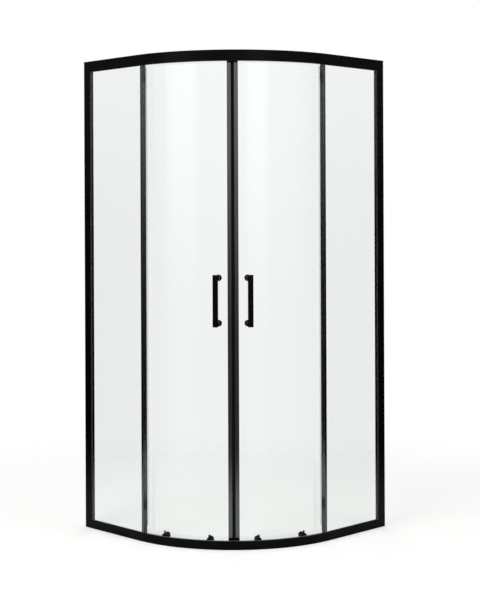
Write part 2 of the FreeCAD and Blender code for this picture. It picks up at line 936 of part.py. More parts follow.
def meeting_profile():
    """The upright on a door's leading edge: a slot for the glass and a groove for the magnetic seal."""
    owner = piece("right_meeting_profile", s.diagonal_turn)
    brk = s.edge_break
    middle = (profile_outer + profile_inner) / 2
    groove = s.magnet_tongue_width / 2 + s.tongue_clearance
    groove_end = profile_front + s.magnet_tongue_length + s.tongue_clearance
    slot_start = profile_front + s.meeting_web
    slot_outer = door_outer - s.meeting_slot_gap
    slot_back = door_inner + s.meeting_slot_gap
    section = [
        (profile_outer + brk, profile_front),
        (middle - groove, profile_front),
        (middle - groove, groove_end),
        (middle + groove, groove_end),
        (middle + groove, profile_front),
        (profile_inner - brk, profile_front),
        (profile_inner, profile_front + brk),
        (profile_inner, profile_back - brk),
        (profile_inner - brk, profile_back),
        (slot_back, profile_back),
        (slot_back, slot_start),
        (slot_outer, slot_start),
        (slot_outer, profile_back),
        (profile_outer + brk, profile_back),
        (profile_outer, profile_back - brk),
        (profile_outer, profile_front + brk),
    ]
    upright(owner, section, s.meeting_bottom, meeting_top)
    both_hands("meeting_profile", owner)


def magnetic_seal():
    """The strip on the meeting profile that closes against its twin."""
    owner = piece("right_magnetic_seal", s.diagonal_turn)
    brk = s.edge_break
    middle = (profile_outer + profile_inner) / 2
    nose = s.meeting_gap / 2
    half = s.magnet_depth / 2
    tongue = s.magnet_tongue_width / 2
    tongue_end = profile_front + s.magnet_tongue_length
    section = [
        (middle - half + brk, nose),
        (middle + half - brk, nose),
        (middle + half, nose + brk),
        (middle + half, profile_front),
        (middle + tongue, profile_front),
        (middle + tongue, tongue_end),
        (middle - tongue, tongue_end),
        (middle - tongue, profile_front),
        (middle - half, profile_front),
        (middle - half, nose + brk),
    ]
    upright(owner, section, s.meeting_bottom, meeting_top)
    both_hands("magnetic_seal", owner)


def trailing_seal():
    """A clip on the door's trailing edge with a tapered nose."""
    owner = piece("right_trailing_seal", s.diagonal_turn + door_end)
    gap = s.seal_clearance
    skin = s.seal_skin
    outer = door_outer - gap
    inner = door_inner + gap
    middle = (outer + inner) / 2
    section = [
        (outer - skin, -s.seal_leg),
        (outer, -s.seal_leg),
        (outer, gap),
        (inner, gap),
        (inner, -s.seal_leg),
        (inner + skin, -s.seal_leg),
        (inner + skin, gap + skin),
        (middle + skin, gap + skin + s.seal_nose),
        (middle - skin, gap + skin + s.seal_nose),
        (outer - skin, gap + skin),
    ]
    upright(owner, section, s.door_bottom, door_top)
    both_hands("trailing_seal", owner)


def drip_seal():
    """A clip under the door's lower edge with a fin that sheds water to the inner side of the rail."""
    first = arc_angle(profile_back, radius_at(door_outer)) + s.drip_end_angle
    owner = piece("right_drip_seal", s.diagonal_turn + first)
    gap = s.seal_clearance
    skin = s.seal_skin
    outer = door_outer - gap
    inner = door_inner + gap
    top = s.door_bottom + s.drip_leg
    under = s.door_bottom - gap - skin
    fin = (outer + inner) / 2
    half_fin = s.drip_fin_width / 2
    section = [
        (outer - skin, top),
        (outer, top),
        (outer, s.door_bottom - gap),
        (inner, s.door_bottom - gap),
        (inner, top),
        (inner + skin, top),
        (inner + skin, under),
        (fin + half_fin, under),
        (fin + half_fin, under - s.drip_fin_drop),
        (fin - half_fin, under - s.drip_fin_drop),
        (fin - half_fin, under),
        (outer - skin, under),
    ]
    last = door_end - arc_angle(s.seal_leg, radius_at(door_outer)) - s.drip_end_angle
    round_bend(owner, section, last - first)
    both_hands("drip_seal", owner)


def handle_bar():
    """An upright bar with rounded long edges, set a little to one side of its posts."""
    owner = piece("right_handle_bar", s.diagonal_turn + s.handle_angle)
    inner = door_outer - s.handle_standoff
    outer = inner - s.handle_thickness
    near = s.handle_side_offset - s.handle_width / 2
    far = near + s.handle_width
    low = s.handle_height - s.handle_length / 2
    upright(owner, [(outer, near), (inner, near), (inner, far), (outer, far)], low, low + s.handle_length)
    long_edges = edges_where(owner, lambda edge: edge.BoundBox.ZLength > s.handle_width.number)
    dress(owner, "Fillet", "Radius", long_edges, s.handle_round)
    end_edges = edges_where(owner, lambda edge: edge.BoundBox.ZLength < s.edge_break.number)
    dress(owner, "Fillet", "Radius", end_edges, s.handle_end_round)
    both_hands("handle_bar", owner)


def handle_posts():
    """Flared posts between the glass and the bar, with a stud through the glass."""
    foot = door_outer - s.glass_gap - s.washer_thickness
    base_end = foot - s.handle_post_base
    neck = base_end - s.handle_post_flare
    bar_face = door_outer - s.handle_standoff
    stud_end = door_inner + s.glass_gap + s.washer_thickness + s.handle_stud_reach
    posts = []
    for level, height in enumerate(handle_post_heights(), start=1):
        owner = piece(f"right_handle_post_{level}", s.diagonal_turn + s.handle_angle, height=height)
        turned(owner, [
            (bar_face, 0),
            (bar_face, s.handle_post_radius),
            (neck, s.handle_post_radius),
            (base_end, s.handle_post_base_radius),
            (foot, s.handle_post_base_radius),
            (foot, s.handle_stud_radius),
            (stud_end, s.handle_stud_radius),
            (stud_end, 0),
        ])
        posts.append(owner)
    both_hands("handle_posts", group("right_handle_posts", posts))


def ring(label, turn, height, outer, inner, hole, radius):
    """A flat washer between two depths."""
    owner = piece(label, turn, height=height)
    turned(owner, [(outer, hole), (outer, radius), (inner, radius), (inner, hole)])
    return owner


def glass_washers():
    """Soft washers between the door's glass and everything that is clamped to it."""
    outside = door_outer - s.glass_gap
    inside = door_inner + s.glass_gap
    thick = s.washer_thickness
    washers = []
    turn = s.diagonal_turn + s.handle_angle
    hole = s.handle_stud_radius + s.washer_clearance
    for level, height in enumerate(handle_post_heights(), start=1):
        washers.append(ring(f"outer_washer_{level}", turn, height, outside - thick, outside, hole,
                            s.washer_radius))
        washers.append(ring(f"inner_washer_{level}", turn, height, inside, inside + thick, hole,
                            s.handle_nut_radius))
    for place, angle in ROLLER_ANGLES.items():
        turn = s.diagonal_turn + angle
        washers.append(ring(f"upper_washer_{place}", turn, upper_axle_height, inside, inside + thick,
                            s.hub_radius + s.washer_clearance, s.roller_cap_radius))
        washers.append(ring(f"lower_washer_{place}", turn, s.housing_mount_height, inside, inside + thick,
                            s.housing_spigot_radius + s.washer_clearance, s.lower_cap_radius))
        washers.append(ring(f"housing_washer_{place}", turn, s.housing_mount_height,
                            s.housing_inner_depth, outside,
                            s.housing_spigot_radius + s.washer_clearance, s.lower_cap_radius))
    both_hands("glass_washers", group("right_glass_washers", washers))


def cap(label, turn, height, radius, rise, bore, bore_depth):
    """A round clamping cap on the inside of the glass, with a blind bore and a key socket."""
    face = door_inner + s.glass_gap + s.washer_thickness
    top = face + rise
    socket_floor = top - s.roller_cap_socket_depth
    owner = piece(label, turn, height=height)
    turned(owner, [
        (face, bore),
        (face, radius),
        (top - s.roller_cap_edge, radius),
        (top, radius - s.roller_cap_edge),
        (top, s.roller_cap_socket_radius),
        (socket_floor, s.roller_cap_socket_radius),
        (socket_floor, 0),
        (face + bore_depth, 0),
        (face + bore_depth, bore),
    ])
    return owner


def handle_nuts():
    """Blind cap nuts on the handle studs, on the inside of the glass."""
    turn = s.diagonal_turn + s.handle_angle
    bore = s.handle_stud_radius + s.press_clearance
    nuts = [
        cap(f"handle_nut_{level}", turn, height, s.handle_nut_radius, s.handle_nut_height, bore,
            s.handle_stud_reach)
        for level, height in enumerate(handle_post_heights(), start=1)
    ]
    both_hands("handle_nuts", group("right_handle_nuts", nuts))


def roller_caps():
    """Clamping caps for the upper hubs and the lower housings."""
    caps = []
    for place, angle in ROLLER_ANGLES.items():
        turn = s.diagonal_turn + angle
        caps.append(cap(f"upper_cap_{place}", turn, upper_axle_height, s.roller_cap_radius,
                        s.roller_cap_height, s.hub_radius + s.press_clearance, s.hub_spigot_reach))
        caps.append(cap(f"lower_cap_{place}", turn, s.housing_mount_height, s.lower_cap_radius,
                        s.lower_cap_height, s.housing_spigot_radius + s.press_clearance,
                        s.hub_spigot_reach))
    both_hands("roller_caps", group("right_roller_caps", caps))


def upper_roller_hubs():
    """Stepped hubs that carry the upper wheels' axles through the rail's open side to the glass."""
    flange_end = door_outer - s.glass_gap
    flange_start = flange_end - s.hub_flange_thickness
    spigot_end = door_inner + s.glass_gap + s.washer_thickness + s.hub_spigot_reach
    bore = s.axle_radius + s.press_clearance
    hubs = []
    for place, angle in ROLLER_ANGLES.items():
        owner = piece(f"upper_hub_{place}", s.diagonal_turn + angle, height=upper_axle_height)
        turned(owner, [
            (hub_front, bore),
            (hub_front, s.hub_radius),
            (flange_start, s.hub_radius),
            (flange_start, s.hub_flange_radius),
            (flange_end, s.hub_flange_radius),
            (flange_end, s.hub_radius),
            (spigot_end, s.hub_radius),
            (spigot_end, 0),
            (axle_end, 0),
            (axle_end, bore),
        ])
        hubs.append(owner)
    both_hands("upper_roller_hubs", group("right_upper_roller_hubs", hubs))


def lower_housing(place, angle):
    """A domed housing outside the glass: wheel collar below, release button well above."""
    owner = piece(f"lower_housing_{place}", s.diagonal_turn + angle)
    half = s.housing_half_width
    outer = s.housing_outer_depth
    inner = s.housing_inner_depth
    drawing = sketch_on(owner, "YZ_Plane", radius_at(inner))
    outline(drawing, [
        (-half, s.housing_bottom),
        (half, s.housing_bottom),
        (half, s.housing_shoulder),
        (-half, s.housing_shoulder),
    ])
    pad(owner, drawing, inner - outer)
    outward_disc(owner, 0, s.housing_shoulder, half, outer, inner)
    front = radius_at(outer).number
    front_edges = edges_where(owner, lambda edge: edge.BoundBox.XMin > front - s.edge_break.number)
    dress(owner, "Chamfer", "Size", front_edges, s.housing_edge)
    outward_disc(owner, 0, lower_axle_height, s.collar_radius, hub_front, outer)
    spigot_end = door_inner + s.glass_gap + s.washer_thickness + s.hub_spigot_reach
    outward_disc(owner, 0, s.housing_mount_height, s.housing_spigot_radius, inner, spigot_end)
    drawing = sketch_on(owner, "YZ_Plane", radius_at(hub_front - s.cut_overrun))
    circle(drawing, 0, lower_axle_height, s.axle_radius + s.press_clearance)
    pocket(owner, drawing, axle_end - hub_front + s.cut_overrun)
    top = s.housing_shoulder + half + s.cut_overrun
    drawing = sketch_on(owner, "XY_Plane", top)
    circle(drawing, radius_at(s.button_depth), s.button_offset, s.button_radius + s.button_clearance)
    pocket(owner, drawing, top - s.button_well)
    return owner


def lower_roller_housings():
    housings = [lower_housing(place, angle) for place, angle in ROLLER_ANGLES.items()]
    both_hands("lower_roller_housings", group("right_lower_roller_housings", housings))


def wheel_axles():
    """Headed pins that hold the wheels to the hubs and housings."""
    axles = []
    for place, angle in ROLLER_ANGLES.items():
        for level, height in (("upper", upper_axle_height), ("lower", lower_axle_height)):
            owner = piece(f"{level}_axle_{place}", s.diagonal_turn + angle, height=height)
            head_end = axle_head_front + s.axle_head_thickness
            turned(owner, [
                (axle_head_front, 0),
                (axle_head_front, s.axle_head_radius),
                (head_end, s.axle_head_radius),
                (head_end, s.axle_radius),
                (axle_end, s.axle_radius),
                (axle_end, 0),
            ])
            axles.append(owner)
    both_hands("wheel_axles", group("right_wheel_axles", axles))


def wheels():
    """Track wheels with a raised hub and rim, each free to turn on its axle."""
    bore = s.axle_radius + s.bore_clearance
    hub = s.wheel_hub_radius
    rim = s.wheel_rim_inner_radius
    tread = s.wheel_radius
    edge = s.wheel_edge
    front = wheel_front
    back = wheel_back
    dish_front = front + s.wheel_recess
    dish_back = back - s.wheel_recess
    for place, angle in ROLLER_ANGLES.items():
        for level, height in (("upper", upper_axle_height), ("lower", lower_axle_height)):
            name = f"{level}_{place}_wheel"
            owner = piece(f"right_{name}", s.diagonal_turn + angle, height=height)
            turned(owner, [
                (front, bore),
                (front, hub),
                (dish_front, hub),
                (dish_front, rim),
                (front, rim),
                (front, tread - edge),
                (front + edge, tread),
                (back - edge, tread),
                (back, tread - edge),
                (back, rim),
                (dish_back, rim),
                (dish_back, hub),
                (back, hub),
                (back, bore),
            ])
            both_hands(name, owner)


def release_buttons():
    """Sprung pegs on top of the lower housings, and the coil springs under them."""
    out = radius_at(s.button_depth)
    crown = s.button_crown
    for place, angle in ROLLER_ANGLES.items():
        turn = s.diagonal_turn + angle
        name = f"{place}_release_button"
        owner = piece(f"right_{name}", turn, out, s.button_offset)
        drawing = sketch_on(owner, "XZ_Plane")
        outline(drawing, [
            (0, s.button_foot),
            (s.button_radius, s.button_foot),
            (s.button_radius, s.button_top - crown),
            (s.button_radius - crown, s.button_top),
            (0, s.button_top),
        ])
        revolve(owner, drawing, "V_Axis")
        both_hands(name, owner)
        name = f"{place}_release_spring"
        owner = piece(f"right_{name}", turn, out, s.button_offset)
        low = s.button_well + s.spring_end_gap + s.spring_wire_radius
        high = s.button_foot - s.spring_end_gap - s.spring_wire_radius
        drawing = sketch_on(owner, "XZ_Plane")
        circle(drawing, s.spring_coil_radius, low, s.spring_wire_radius)
        coil = owner.newObject("PartDesign::AdditiveHelix", "Coil")
        coil.Profile = drawing
        coil.ReferenceAxis = (drawing, ["V_Axis"])
        coil.Mode = "height-turns-angle"
        bind(coil, "Height", high - low)
        bind(coil, "Turns", s.spring_turns)
        doc.recompute()
        both_hands(name, owner)


top_rail()
bottom_rail()
frame_post()
wall_profile()
post_caps()
adjusting_screws()
corner_blocks()
fixed_glass()
stile()
glazing_gaskets()
slot_infills()
brush_seals()
door_stops()
door_glass()
meeting_profile()
magnetic_seal()
trailing_seal()
drip_seal()
handle_bar()
handle_posts()
glass_washers()
handle_nuts()
upper_roller_hubs()
lower_roller_housings()
roller_caps()
wheel_axles()
wheels()
release_buttons()
doc.recompute()

# Every object is sound before anything is written
for item in doc.Objects:
    if {"Invalid", "Error"} & set(item.State):
        raise RuntimeError(f"{item.Label} did not build: {item.State}")
for item in subparts:
    if item.Shape.isNull() or not item.Shape.isValid() or not item.Shape.Solids:
        raise RuntimeError(f"{item.Label} has no sound solid")

os.makedirs("parts", exist_ok=True)
for item in subparts:
    item.Shape.exportStep(f"parts/{item.Label}.step")
print(f"{len(subparts)} sub-parts written")
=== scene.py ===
import json
import math

import bmesh
import bpy
from mathutils import Matrix, Vector


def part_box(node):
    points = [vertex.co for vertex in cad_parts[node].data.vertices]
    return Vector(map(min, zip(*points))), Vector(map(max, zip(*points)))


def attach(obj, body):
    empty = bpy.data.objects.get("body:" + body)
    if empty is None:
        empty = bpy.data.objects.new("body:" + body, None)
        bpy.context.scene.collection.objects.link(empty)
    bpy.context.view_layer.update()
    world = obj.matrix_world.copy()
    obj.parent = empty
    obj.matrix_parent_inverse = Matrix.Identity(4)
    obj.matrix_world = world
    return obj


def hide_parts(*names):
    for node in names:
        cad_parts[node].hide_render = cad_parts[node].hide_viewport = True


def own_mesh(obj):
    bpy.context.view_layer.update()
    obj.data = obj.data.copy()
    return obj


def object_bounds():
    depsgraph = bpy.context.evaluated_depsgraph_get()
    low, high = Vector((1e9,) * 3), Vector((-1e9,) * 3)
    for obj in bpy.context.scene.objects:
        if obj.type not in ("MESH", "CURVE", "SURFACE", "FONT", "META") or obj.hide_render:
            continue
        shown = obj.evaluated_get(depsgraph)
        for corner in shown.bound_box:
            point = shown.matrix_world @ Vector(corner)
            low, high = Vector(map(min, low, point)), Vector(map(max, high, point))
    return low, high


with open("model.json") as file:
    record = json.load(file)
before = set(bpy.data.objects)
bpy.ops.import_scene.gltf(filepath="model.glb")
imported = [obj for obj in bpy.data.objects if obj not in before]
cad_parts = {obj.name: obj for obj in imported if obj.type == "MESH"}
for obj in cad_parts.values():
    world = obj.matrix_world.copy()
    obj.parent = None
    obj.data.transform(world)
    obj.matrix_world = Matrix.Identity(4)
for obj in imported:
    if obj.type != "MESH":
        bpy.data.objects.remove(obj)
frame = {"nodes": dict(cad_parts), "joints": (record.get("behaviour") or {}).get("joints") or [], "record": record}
cad_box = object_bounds()

scene = bpy.context.scene
scene.view_settings.view_transform = "Standard"

# Bent pieces, in degrees: a chord that turns by more than the finest and less than the widest facet is
# halved, and an edge that bends by more than the sharp edge stays sharp
FINEST_FACET = 2.0
WIDEST_FACET = 12.0
SHARP_EDGE = 30.0
# Points closer than the weld, in metres, are one, and a point is known by its place to this many decimals
WELD = 0.000002
POINT_DECIMALS = 6

# Brush strips on the stiles, in metres. The bristles are thicker and fewer than real ones, so that they show
BRUSH_BASE_WIDTH = 0.007
BRUSH_BASE_DEPTH = 0.0025
PILE_WIDTH = 0.003
PILE_LENGTH = 0.0113
BRISTLE_RADIUS = 0.00012
BRISTLE_TIP_SHARE = 0.6
BRISTLE_SIDES = 3
BRISTLE_SPACING = 0.0003
BRISTLE_LEAN = 0.12
SHORTEST_BRISTLE_SHARE = 0.9
BRUSH_SEED = 7

# Cross-head screws, in metres
SCREW_HEAD_RADIUS = 0.0042
SCREW_CROWN_RADIUS = 0.0034
SCREW_HEAD_HEIGHT = 0.0024
SCREW_SHANK_RADIUS = 0.002
SCREW_HEAD_SIDES = 24
SCREW_SHANK_SIDES = 16
CROSS_LENGTH = 0.0042
CROSS_WIDTH = 0.0009
CROSS_DEPTH = 0.0014
ADJUSTING_SCREW_REACH = 0.007
CORNER_SCREW_REACH = 0.028

# Release springs, in metres
SPRING_WIRE_RADIUS = 0.0004
SPRING_TURNS = 4.0
SPRING_STEPS_PER_TURN = 28
SPRING_WIRE_SIDES = 10

# Camera, from a fit of the rails and posts, in metres, degrees and millimetres of lens and sensor. The shift
# is a share of the frame's height
CAMERA_PLACE = Vector((3.9976, -3.8967, 1.2931))
CAMERA_HEADING = 135.475
CAMERA_ROLL = -0.228
CAMERA_LENS = 79.952
SENSOR_WIDTH = 36.0
CAMERA_SHIFT = -0.136

# Pattern sizes of the finishes, in millimetres. Die lines, spark texture, turning marks, streaks and fibres
# are finer on the real pieces, and are drawn this coarse so that they show
MM_PER_METRE = 1000.0
ORANGE_PEEL_MM = 1.8
ORANGE_PEEL_DEPTH_MM = 0.02
COAT_DRIFT_MM = 70.0
DIE_LINE_MM = 1.6
DIE_LINE_DEPTH_MM = 0.006
EXTRUDED_RUN_MM = 240.0
ROLLER_WAVE_MM = 260.0
ROLLER_WAVE_DEPTH_MM = 0.4
MOULD_SPARK_MM = 0.9
ABS_SPARK_DEPTH_MM = 0.012
RUBBER_SPARK_DEPTH_MM = 0.01
NYLON_SPARK_DEPTH_MM = 0.006
MOULD_DRIFT_MM = 20.0
RUBBER_BLOOM_MM = 24.0
NYLON_CLOUD_MM = 6.0
TURNING_MARK_MM = 0.35
TURNING_MARK_DEPTH_MM = 0.002
PVC_STREAK_MM = 0.8
PVC_STREAK_DEPTH_MM = 0.004
FIBRE_MM = 0.8
FIBRE_DEPTH_MM = 0.004

# The range that a noise pattern mostly keeps to
NOISE_LOW = 0.3
NOISE_HIGH = 0.7

# Glass: the share of its wave that bends light, and how strongly its iron tints it, for each metre
ROLLER_WAVE_STRENGTH = 0.1
IRON_DENSITY = 5.0


def linear(colour):
    """An sRGB hex colour as linear red, green, blue and a full alpha."""
    parts = [int(colour[start:start + 2], 16) / 255 for start in (1, 3, 5)]
    return [part / 12.92 if part <= 0.04045 else ((part + 0.055) / 1.055) ** 2.4 for part in parts] + [1.0]


def repeats(millimetres):
    """The scale of a pattern of this size on coordinates in metres."""
    return MM_PER_METRE / millimetres


def add(tree, kind, inputs=None, **settings):
    """Adds a node with its settings, and sets or links its inputs by name or number."""
    node = tree.nodes.new(kind)
    for name, value in settings.items():
        setattr(node, name, value)
    for key, value in (inputs or {}).items():
        if isinstance(value, bpy.types.NodeSocket):
            tree.links.new(value, node.inputs[key])
        elif isinstance(value, list) and isinstance(value[0], bpy.types.NodeSocket):
            for source in value:
                tree.links.new(source, node.inputs[key])
        else:
            node.inputs[key].default_value = value
    return node


def blank_material(name):
    """A new material and its empty tree."""
    material = bpy.data.materials.new(name)
    material.use_nodes = True
    material.node_tree.nodes.clear()
    return material, material.node_tree


def skinned_finish(name, skin, tone, colours, gloss, shader):
    """A finish with a fine skin in relief, and a tone that its colour and its gloss drift with.

    The skin is the relief's width, its run along the piece's height and its depth, the tone a width and a
    run, all in millimetres. The colours and the gloss are the two ends of the drift."""
    material, tree = blank_material(name)
    place = add(tree, "ShaderNodeTexCoord").outputs["Object"]
    patterns = []
    for width, run in (skin[:2], tone):
        drawn = add(tree, "ShaderNodeMapping", {"Vector": place, "Scale": (1.0, 1.0, width / run)})
        pattern = add(tree, "ShaderNodeTexNoise", {"Vector": drawn.outputs[0], "Scale": repeats(width)})
        patterns.append(pattern.outputs[0])
    relief, drift = patterns
    normal = add(tree, "ShaderNodeBump", {"Height": relief, "Distance": skin[2] / MM_PER_METRE})
    spread = {"Value": drift, "From Min": NOISE_LOW, "From Max": NOISE_HIGH}
    share = add(tree, "ShaderNodeMapRange", spread)
    roughness = add(tree, "ShaderNodeMapRange", {**spread, "To Min": gloss[0], "To Max": gloss[1]})
    # The mix node's colours are its inputs 6 and 7 and its output 2
    ends = {0: share.outputs[0], 6: linear(colours[0]), 7: linear(colours[1])}
    colour = add(tree, "ShaderNodeMix", ends, data_type="RGBA")
    surface = add(tree, "ShaderNodeBsdfPrincipled", {
        "Base Color": colour.outputs[2],
        "Roughness": roughness.outputs[0],
        "Normal": normal.outputs[0],
        **shader,
    })
    add(tree, "ShaderNodeOutputMaterial", {"Surface": surface.outputs[0]})
    return material


def satin_powder_coat():
    """Polyester powder, sprayed and baked on aluminium: deep black and satin, with an orange-peel skin that
    softens what it mirrors and a broad drift of gloss that keeps long faces from looking flat."""
    return skinned_finish(
        "satin_black_powder_coat",
        skin=(ORANGE_PEEL_MM, ORANGE_PEEL_MM, ORANGE_PEEL_DEPTH_MM),
        tone=(COAT_DRIFT_MM, COAT_DRIFT_MM),
        colours=("#020202", "#050506"),
        gloss=(0.2, 0.3),
        shader={"IOR": 1.5, "Specular IOR Level": 0.07},
    )


def black_anodised_aluminium():
    """Extruded aluminium dyed black in the anodising bath: charcoal with a metal sheen, and faint die lines
    along its length. The lines are drawn coarser than the real ones, so that they show."""
    return skinned_finish(
        "black_anodised_aluminium",
        skin=(DIE_LINE_MM, EXTRUDED_RUN_MM, DIE_LINE_DEPTH_MM),
        tone=(DIE_LINE_MM, EXTRUDED_RUN_MM),
        colours=("#616264", "#6e6f72"),
        gloss=(0.08, 0.12),
        shader={"Metallic": 1.0},
    )


def clear_toughened_glass():
    """Clear float glass, toughened: the iron in it gives a faint green that deepens along the edges, and the
    furnace rollers leave long low waves that only its reflections show."""
    material, tree = blank_material("clear_toughened_glass")
    place = add(tree, "ShaderNodeTexCoord").outputs["Object"]
    waves = add(tree, "ShaderNodeTexNoise",
                {"Vector": place, "Scale": repeats(ROLLER_WAVE_MM), "Detail": 0.0})
    normal = add(tree, "ShaderNodeBump", {
        "Height": waves.outputs[0], "Strength": ROLLER_WAVE_STRENGTH,
        "Distance": ROLLER_WAVE_DEPTH_MM / MM_PER_METRE,
    })
    glass = add(tree, "ShaderNodeBsdfPrincipled", {
        "Base Color": linear("#f8faf9"),
        "Roughness": 0.0,
        "IOR": 1.52,
        "Transmission Weight": 1.0,
        "Normal": normal.outputs[0],
    })
    clear = add(tree, "ShaderNodeBsdfTransparent", {"Color": linear("#f2f5f4")})
    path = add(tree, "ShaderNodeLightPath")
    pane = add(tree, "ShaderNodeMixShader",
               {0: path.outputs["Is Shadow Ray"], 1: glass.outputs[0], 2: clear.outputs[0]})
    iron = add(tree, "ShaderNodeVolumeAbsorption", {"Color": linear("#9fd8c2"), "Density": IRON_DENSITY})
    add(tree, "ShaderNodeOutputMaterial", {"Surface": pane.outputs[0], "Volume": iron.outputs[0]})
    return material


def extruded_soft_pvc():
    """Extruded soft PVC: charcoal, a little waxy, with streaks along the run."""
    return skinned_finish(
        "extruded_soft_pvc",
        skin=(PVC_STREAK_MM, EXTRUDED_RUN_MM, PVC_STREAK_DEPTH_MM),
        tone=(PVC_STREAK_MM, EXTRUDED_RUN_MM),
        colours=("#424244", "#525254"),
        gloss=(0.4, 0.54),
        shader={"IOR": 1.53, "Specular IOR Level": 0.2},
    )


def moulded_epdm_rubber():
    """Moulded EPDM rubber: dull black with the grey bloom of its wax."""
    return skinned_finish(
        "moulded_epdm_rubber",
        skin=(MOULD_SPARK_MM, MOULD_SPARK_MM, RUBBER_SPARK_DEPTH_MM),
        tone=(RUBBER_BLOOM_MM, RUBBER_BLOOM_MM),
        colours=("#0a0a0a", "#181817"),
        gloss=(0.62, 0.8),
        shader={"IOR": 1.48, "Specular IOR Level": 0.25},
    )


def ferrite_filled_pvc():
    """A magnet strip of ferrite-filled PVC in a soft sleeve: flat black, drawn smooth along the run."""
    return skinned_finish(
        "ferrite_filled_pvc",
        skin=(PVC_STREAK_MM, EXTRUDED_RUN_MM, PVC_STREAK_DEPTH_MM),
        tone=(PVC_STREAK_MM, EXTRUDED_RUN_MM),
        colours=("#030303", "#080809"),
        gloss=(0.5, 0.62),
        shader={"IOR": 1.53, "Specular IOR Level": 0.1},
    )


def moulded_abs():
    """Injection-moulded ABS: deep black with the fine spark texture of its mould."""
    return skinned_finish(
        "moulded_black_abs",
        skin=(MOULD_SPARK_MM, MOULD_SPARK_MM, ABS_SPARK_DEPTH_MM),
        tone=(MOULD_DRIFT_MM, MOULD_DRIFT_MM),
        colours=("#050506", "#0c0c0d"),
        gloss=(0.34, 0.46),
        shader={"IOR": 1.54, "Specular IOR Level": 0.14},
    )


def moulded_natural_nylon():
    """Moulded natural nylon: milky off-white, slightly waxy, clouded where the melt cooled unevenly."""
    return skinned_finish(
        "moulded_natural_nylon",
        skin=(MOULD_SPARK_MM, MOULD_SPARK_MM, NYLON_SPARK_DEPTH_MM),
        tone=(NYLON_CLOUD_MM, NYLON_CLOUD_MM),
        colours=("#d2cfc4", "#e6e4db"),
        gloss=(0.35, 0.48),
        shader={"IOR": 1.53, "Subsurface Weight": 0.15, "Subsurface Scale": 0.001},
    )


def turned_stainless_steel():
    """Turned stainless steel: bright grey with fine tool marks."""
    return skinned_finish(
        "turned_stainless_steel",
        skin=(TURNING_MARK_MM, TURNING_MARK_MM, TURNING_MARK_DEPTH_MM),
        tone=(TURNING_MARK_MM, TURNING_MARK_MM),
        colours=("#a5a7a9", "#c4c6c8"),
        gloss=(0.2, 0.34),
        shader={"Metallic": 1.0},
    )


def undyed_pile():
    """Undyed polypropylene pile: soft fibres of a natural grey, each a little lighter or darker than the
    next."""
    return skinned_finish(
        "undyed_polypropylene_pile",
        skin=(FIBRE_MM, FIBRE_MM, FIBRE_DEPTH_MM),
        tone=(FIBRE_MM, FIBRE_MM),
        colours=("#8c8d8a", "#aeafac"),
        gloss=(0.5, 0.7),
        shader={"IOR": 1.49, "Sheen Weight": 0.15, "Sheen Roughness": 0.5},
    )


STEEL = turned_stainless_steel()
PILE = undyed_pile()

FINISHES = {
    "black_powder_coat": satin_powder_coat(),
    "black_anodised": black_anodised_aluminium(),
    "black_plastic": moulded_abs(),
    "steel": STEEL,
    "brush_pile": PILE,
    "clear_glass": clear_toughened_glass(),
    "black_seal": extruded_soft_pvc(),
    "black_rubber": moulded_epdm_rubber(),
    "magnet_strip": ferrite_filled_pvc(),
    "nylon": moulded_natural_nylon(),
}
SLOTS = {part["node"]: part["material_slot"] for part in frame["record"]["subparts"]}
JOINTS = {joint["name"]: joint for joint in frame["joints"]}


def dress_frame():
    """Gives every piece of the frame the finish of its material slot."""
    for name, node in frame["nodes"].items():
        for slot in node.material_slots:
            slot.material = FINISHES[SLOTS[name]]


# Bent pieces


def bearing(point):
    """A point's distance from the bend's upright axis and its direction from there."""
    axis = JOINTS["right_door_roll"]["pos_m"]
    across, along = point.x - axis[0], point.y - axis[1]
    return math.hypot(across, along), math.atan2(along, across)


def spans_bend(edge):
    """Whether an edge is a facet's chord: its ends lie on one round of the bend, a facet's turn apart."""
    (first, start), (second, end) = (bearing(vertex.co) for vertex in edge.verts)
    turn = math.degrees(abs(start - end))
    return abs(first - second) < WELD and FINEST_FACET < turn < WIDEST_FACET


def round_bend(node, body):
    """Replaces a bent piece by a copy whose flat facets are halved and moved out to the true bend, until
    they are fine, and whose skin is smooth between its sharp edges."""
    shape = bmesh.new()
    shape.from_mesh(frame["nodes"][node].data)
    bmesh.ops.remove_doubles(shape, verts=shape.verts, dist=WELD)
    axis = JOINTS["right_door_roll"]["pos_m"]
    chords = [edge for edge in shape.edges if spans_bend(edge)]
    while chords:
        radius = {}
        for edge in chords:
            middle = (edge.verts[0].co + edge.verts[1].co) / 2
            radius[middle.to_tuple(POINT_DECIMALS)] = bearing(edge.verts[0].co)[0]
        made = bmesh.ops.subdivide_edges(shape, edges=chords, cuts=1)
        for vertex in made["geom_inner"]:
            if isinstance(vertex, bmesh.types.BMVert):
                away, turn = bearing(vertex.co)
                away = radius.get(vertex.co.to_tuple(POINT_DECIMALS), away)
                vertex.co.x = axis[0] + away * math.cos(turn)
                vertex.co.y = axis[1] + away * math.sin(turn)
        chords = [edge for edge in shape.edges if spans_bend(edge)]
    for face in shape.faces:
        face.smooth = True
    for edge in shape.edges:
        edge.smooth = edge.calc_face_angle(math.pi) < math.radians(SHARP_EDGE)
    mesh = bpy.data.meshes.new(node)
    shape.to_mesh(mesh)
    shape.free()
    mesh.materials.append(FINISHES[SLOTS[node]])
    piece = bpy.data.objects.new(f"{node}_bent", mesh)
    scene.collection.objects.link(piece)
    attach(piece, body)
    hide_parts(node)


def bent_pieces():
    """The rails, the infills of their slots, the door panes and their drip seals, on the true bend."""
    for node in ("top_rail", "bottom_rail", "slot_infills"):
        round_bend(node, "frame")
    for side in ("left", "right"):
        for part in ("door_glass", "drip_seal"):
            round_bend(f"{side}_{part}", f"{side}_door")


# Pieces that repeat


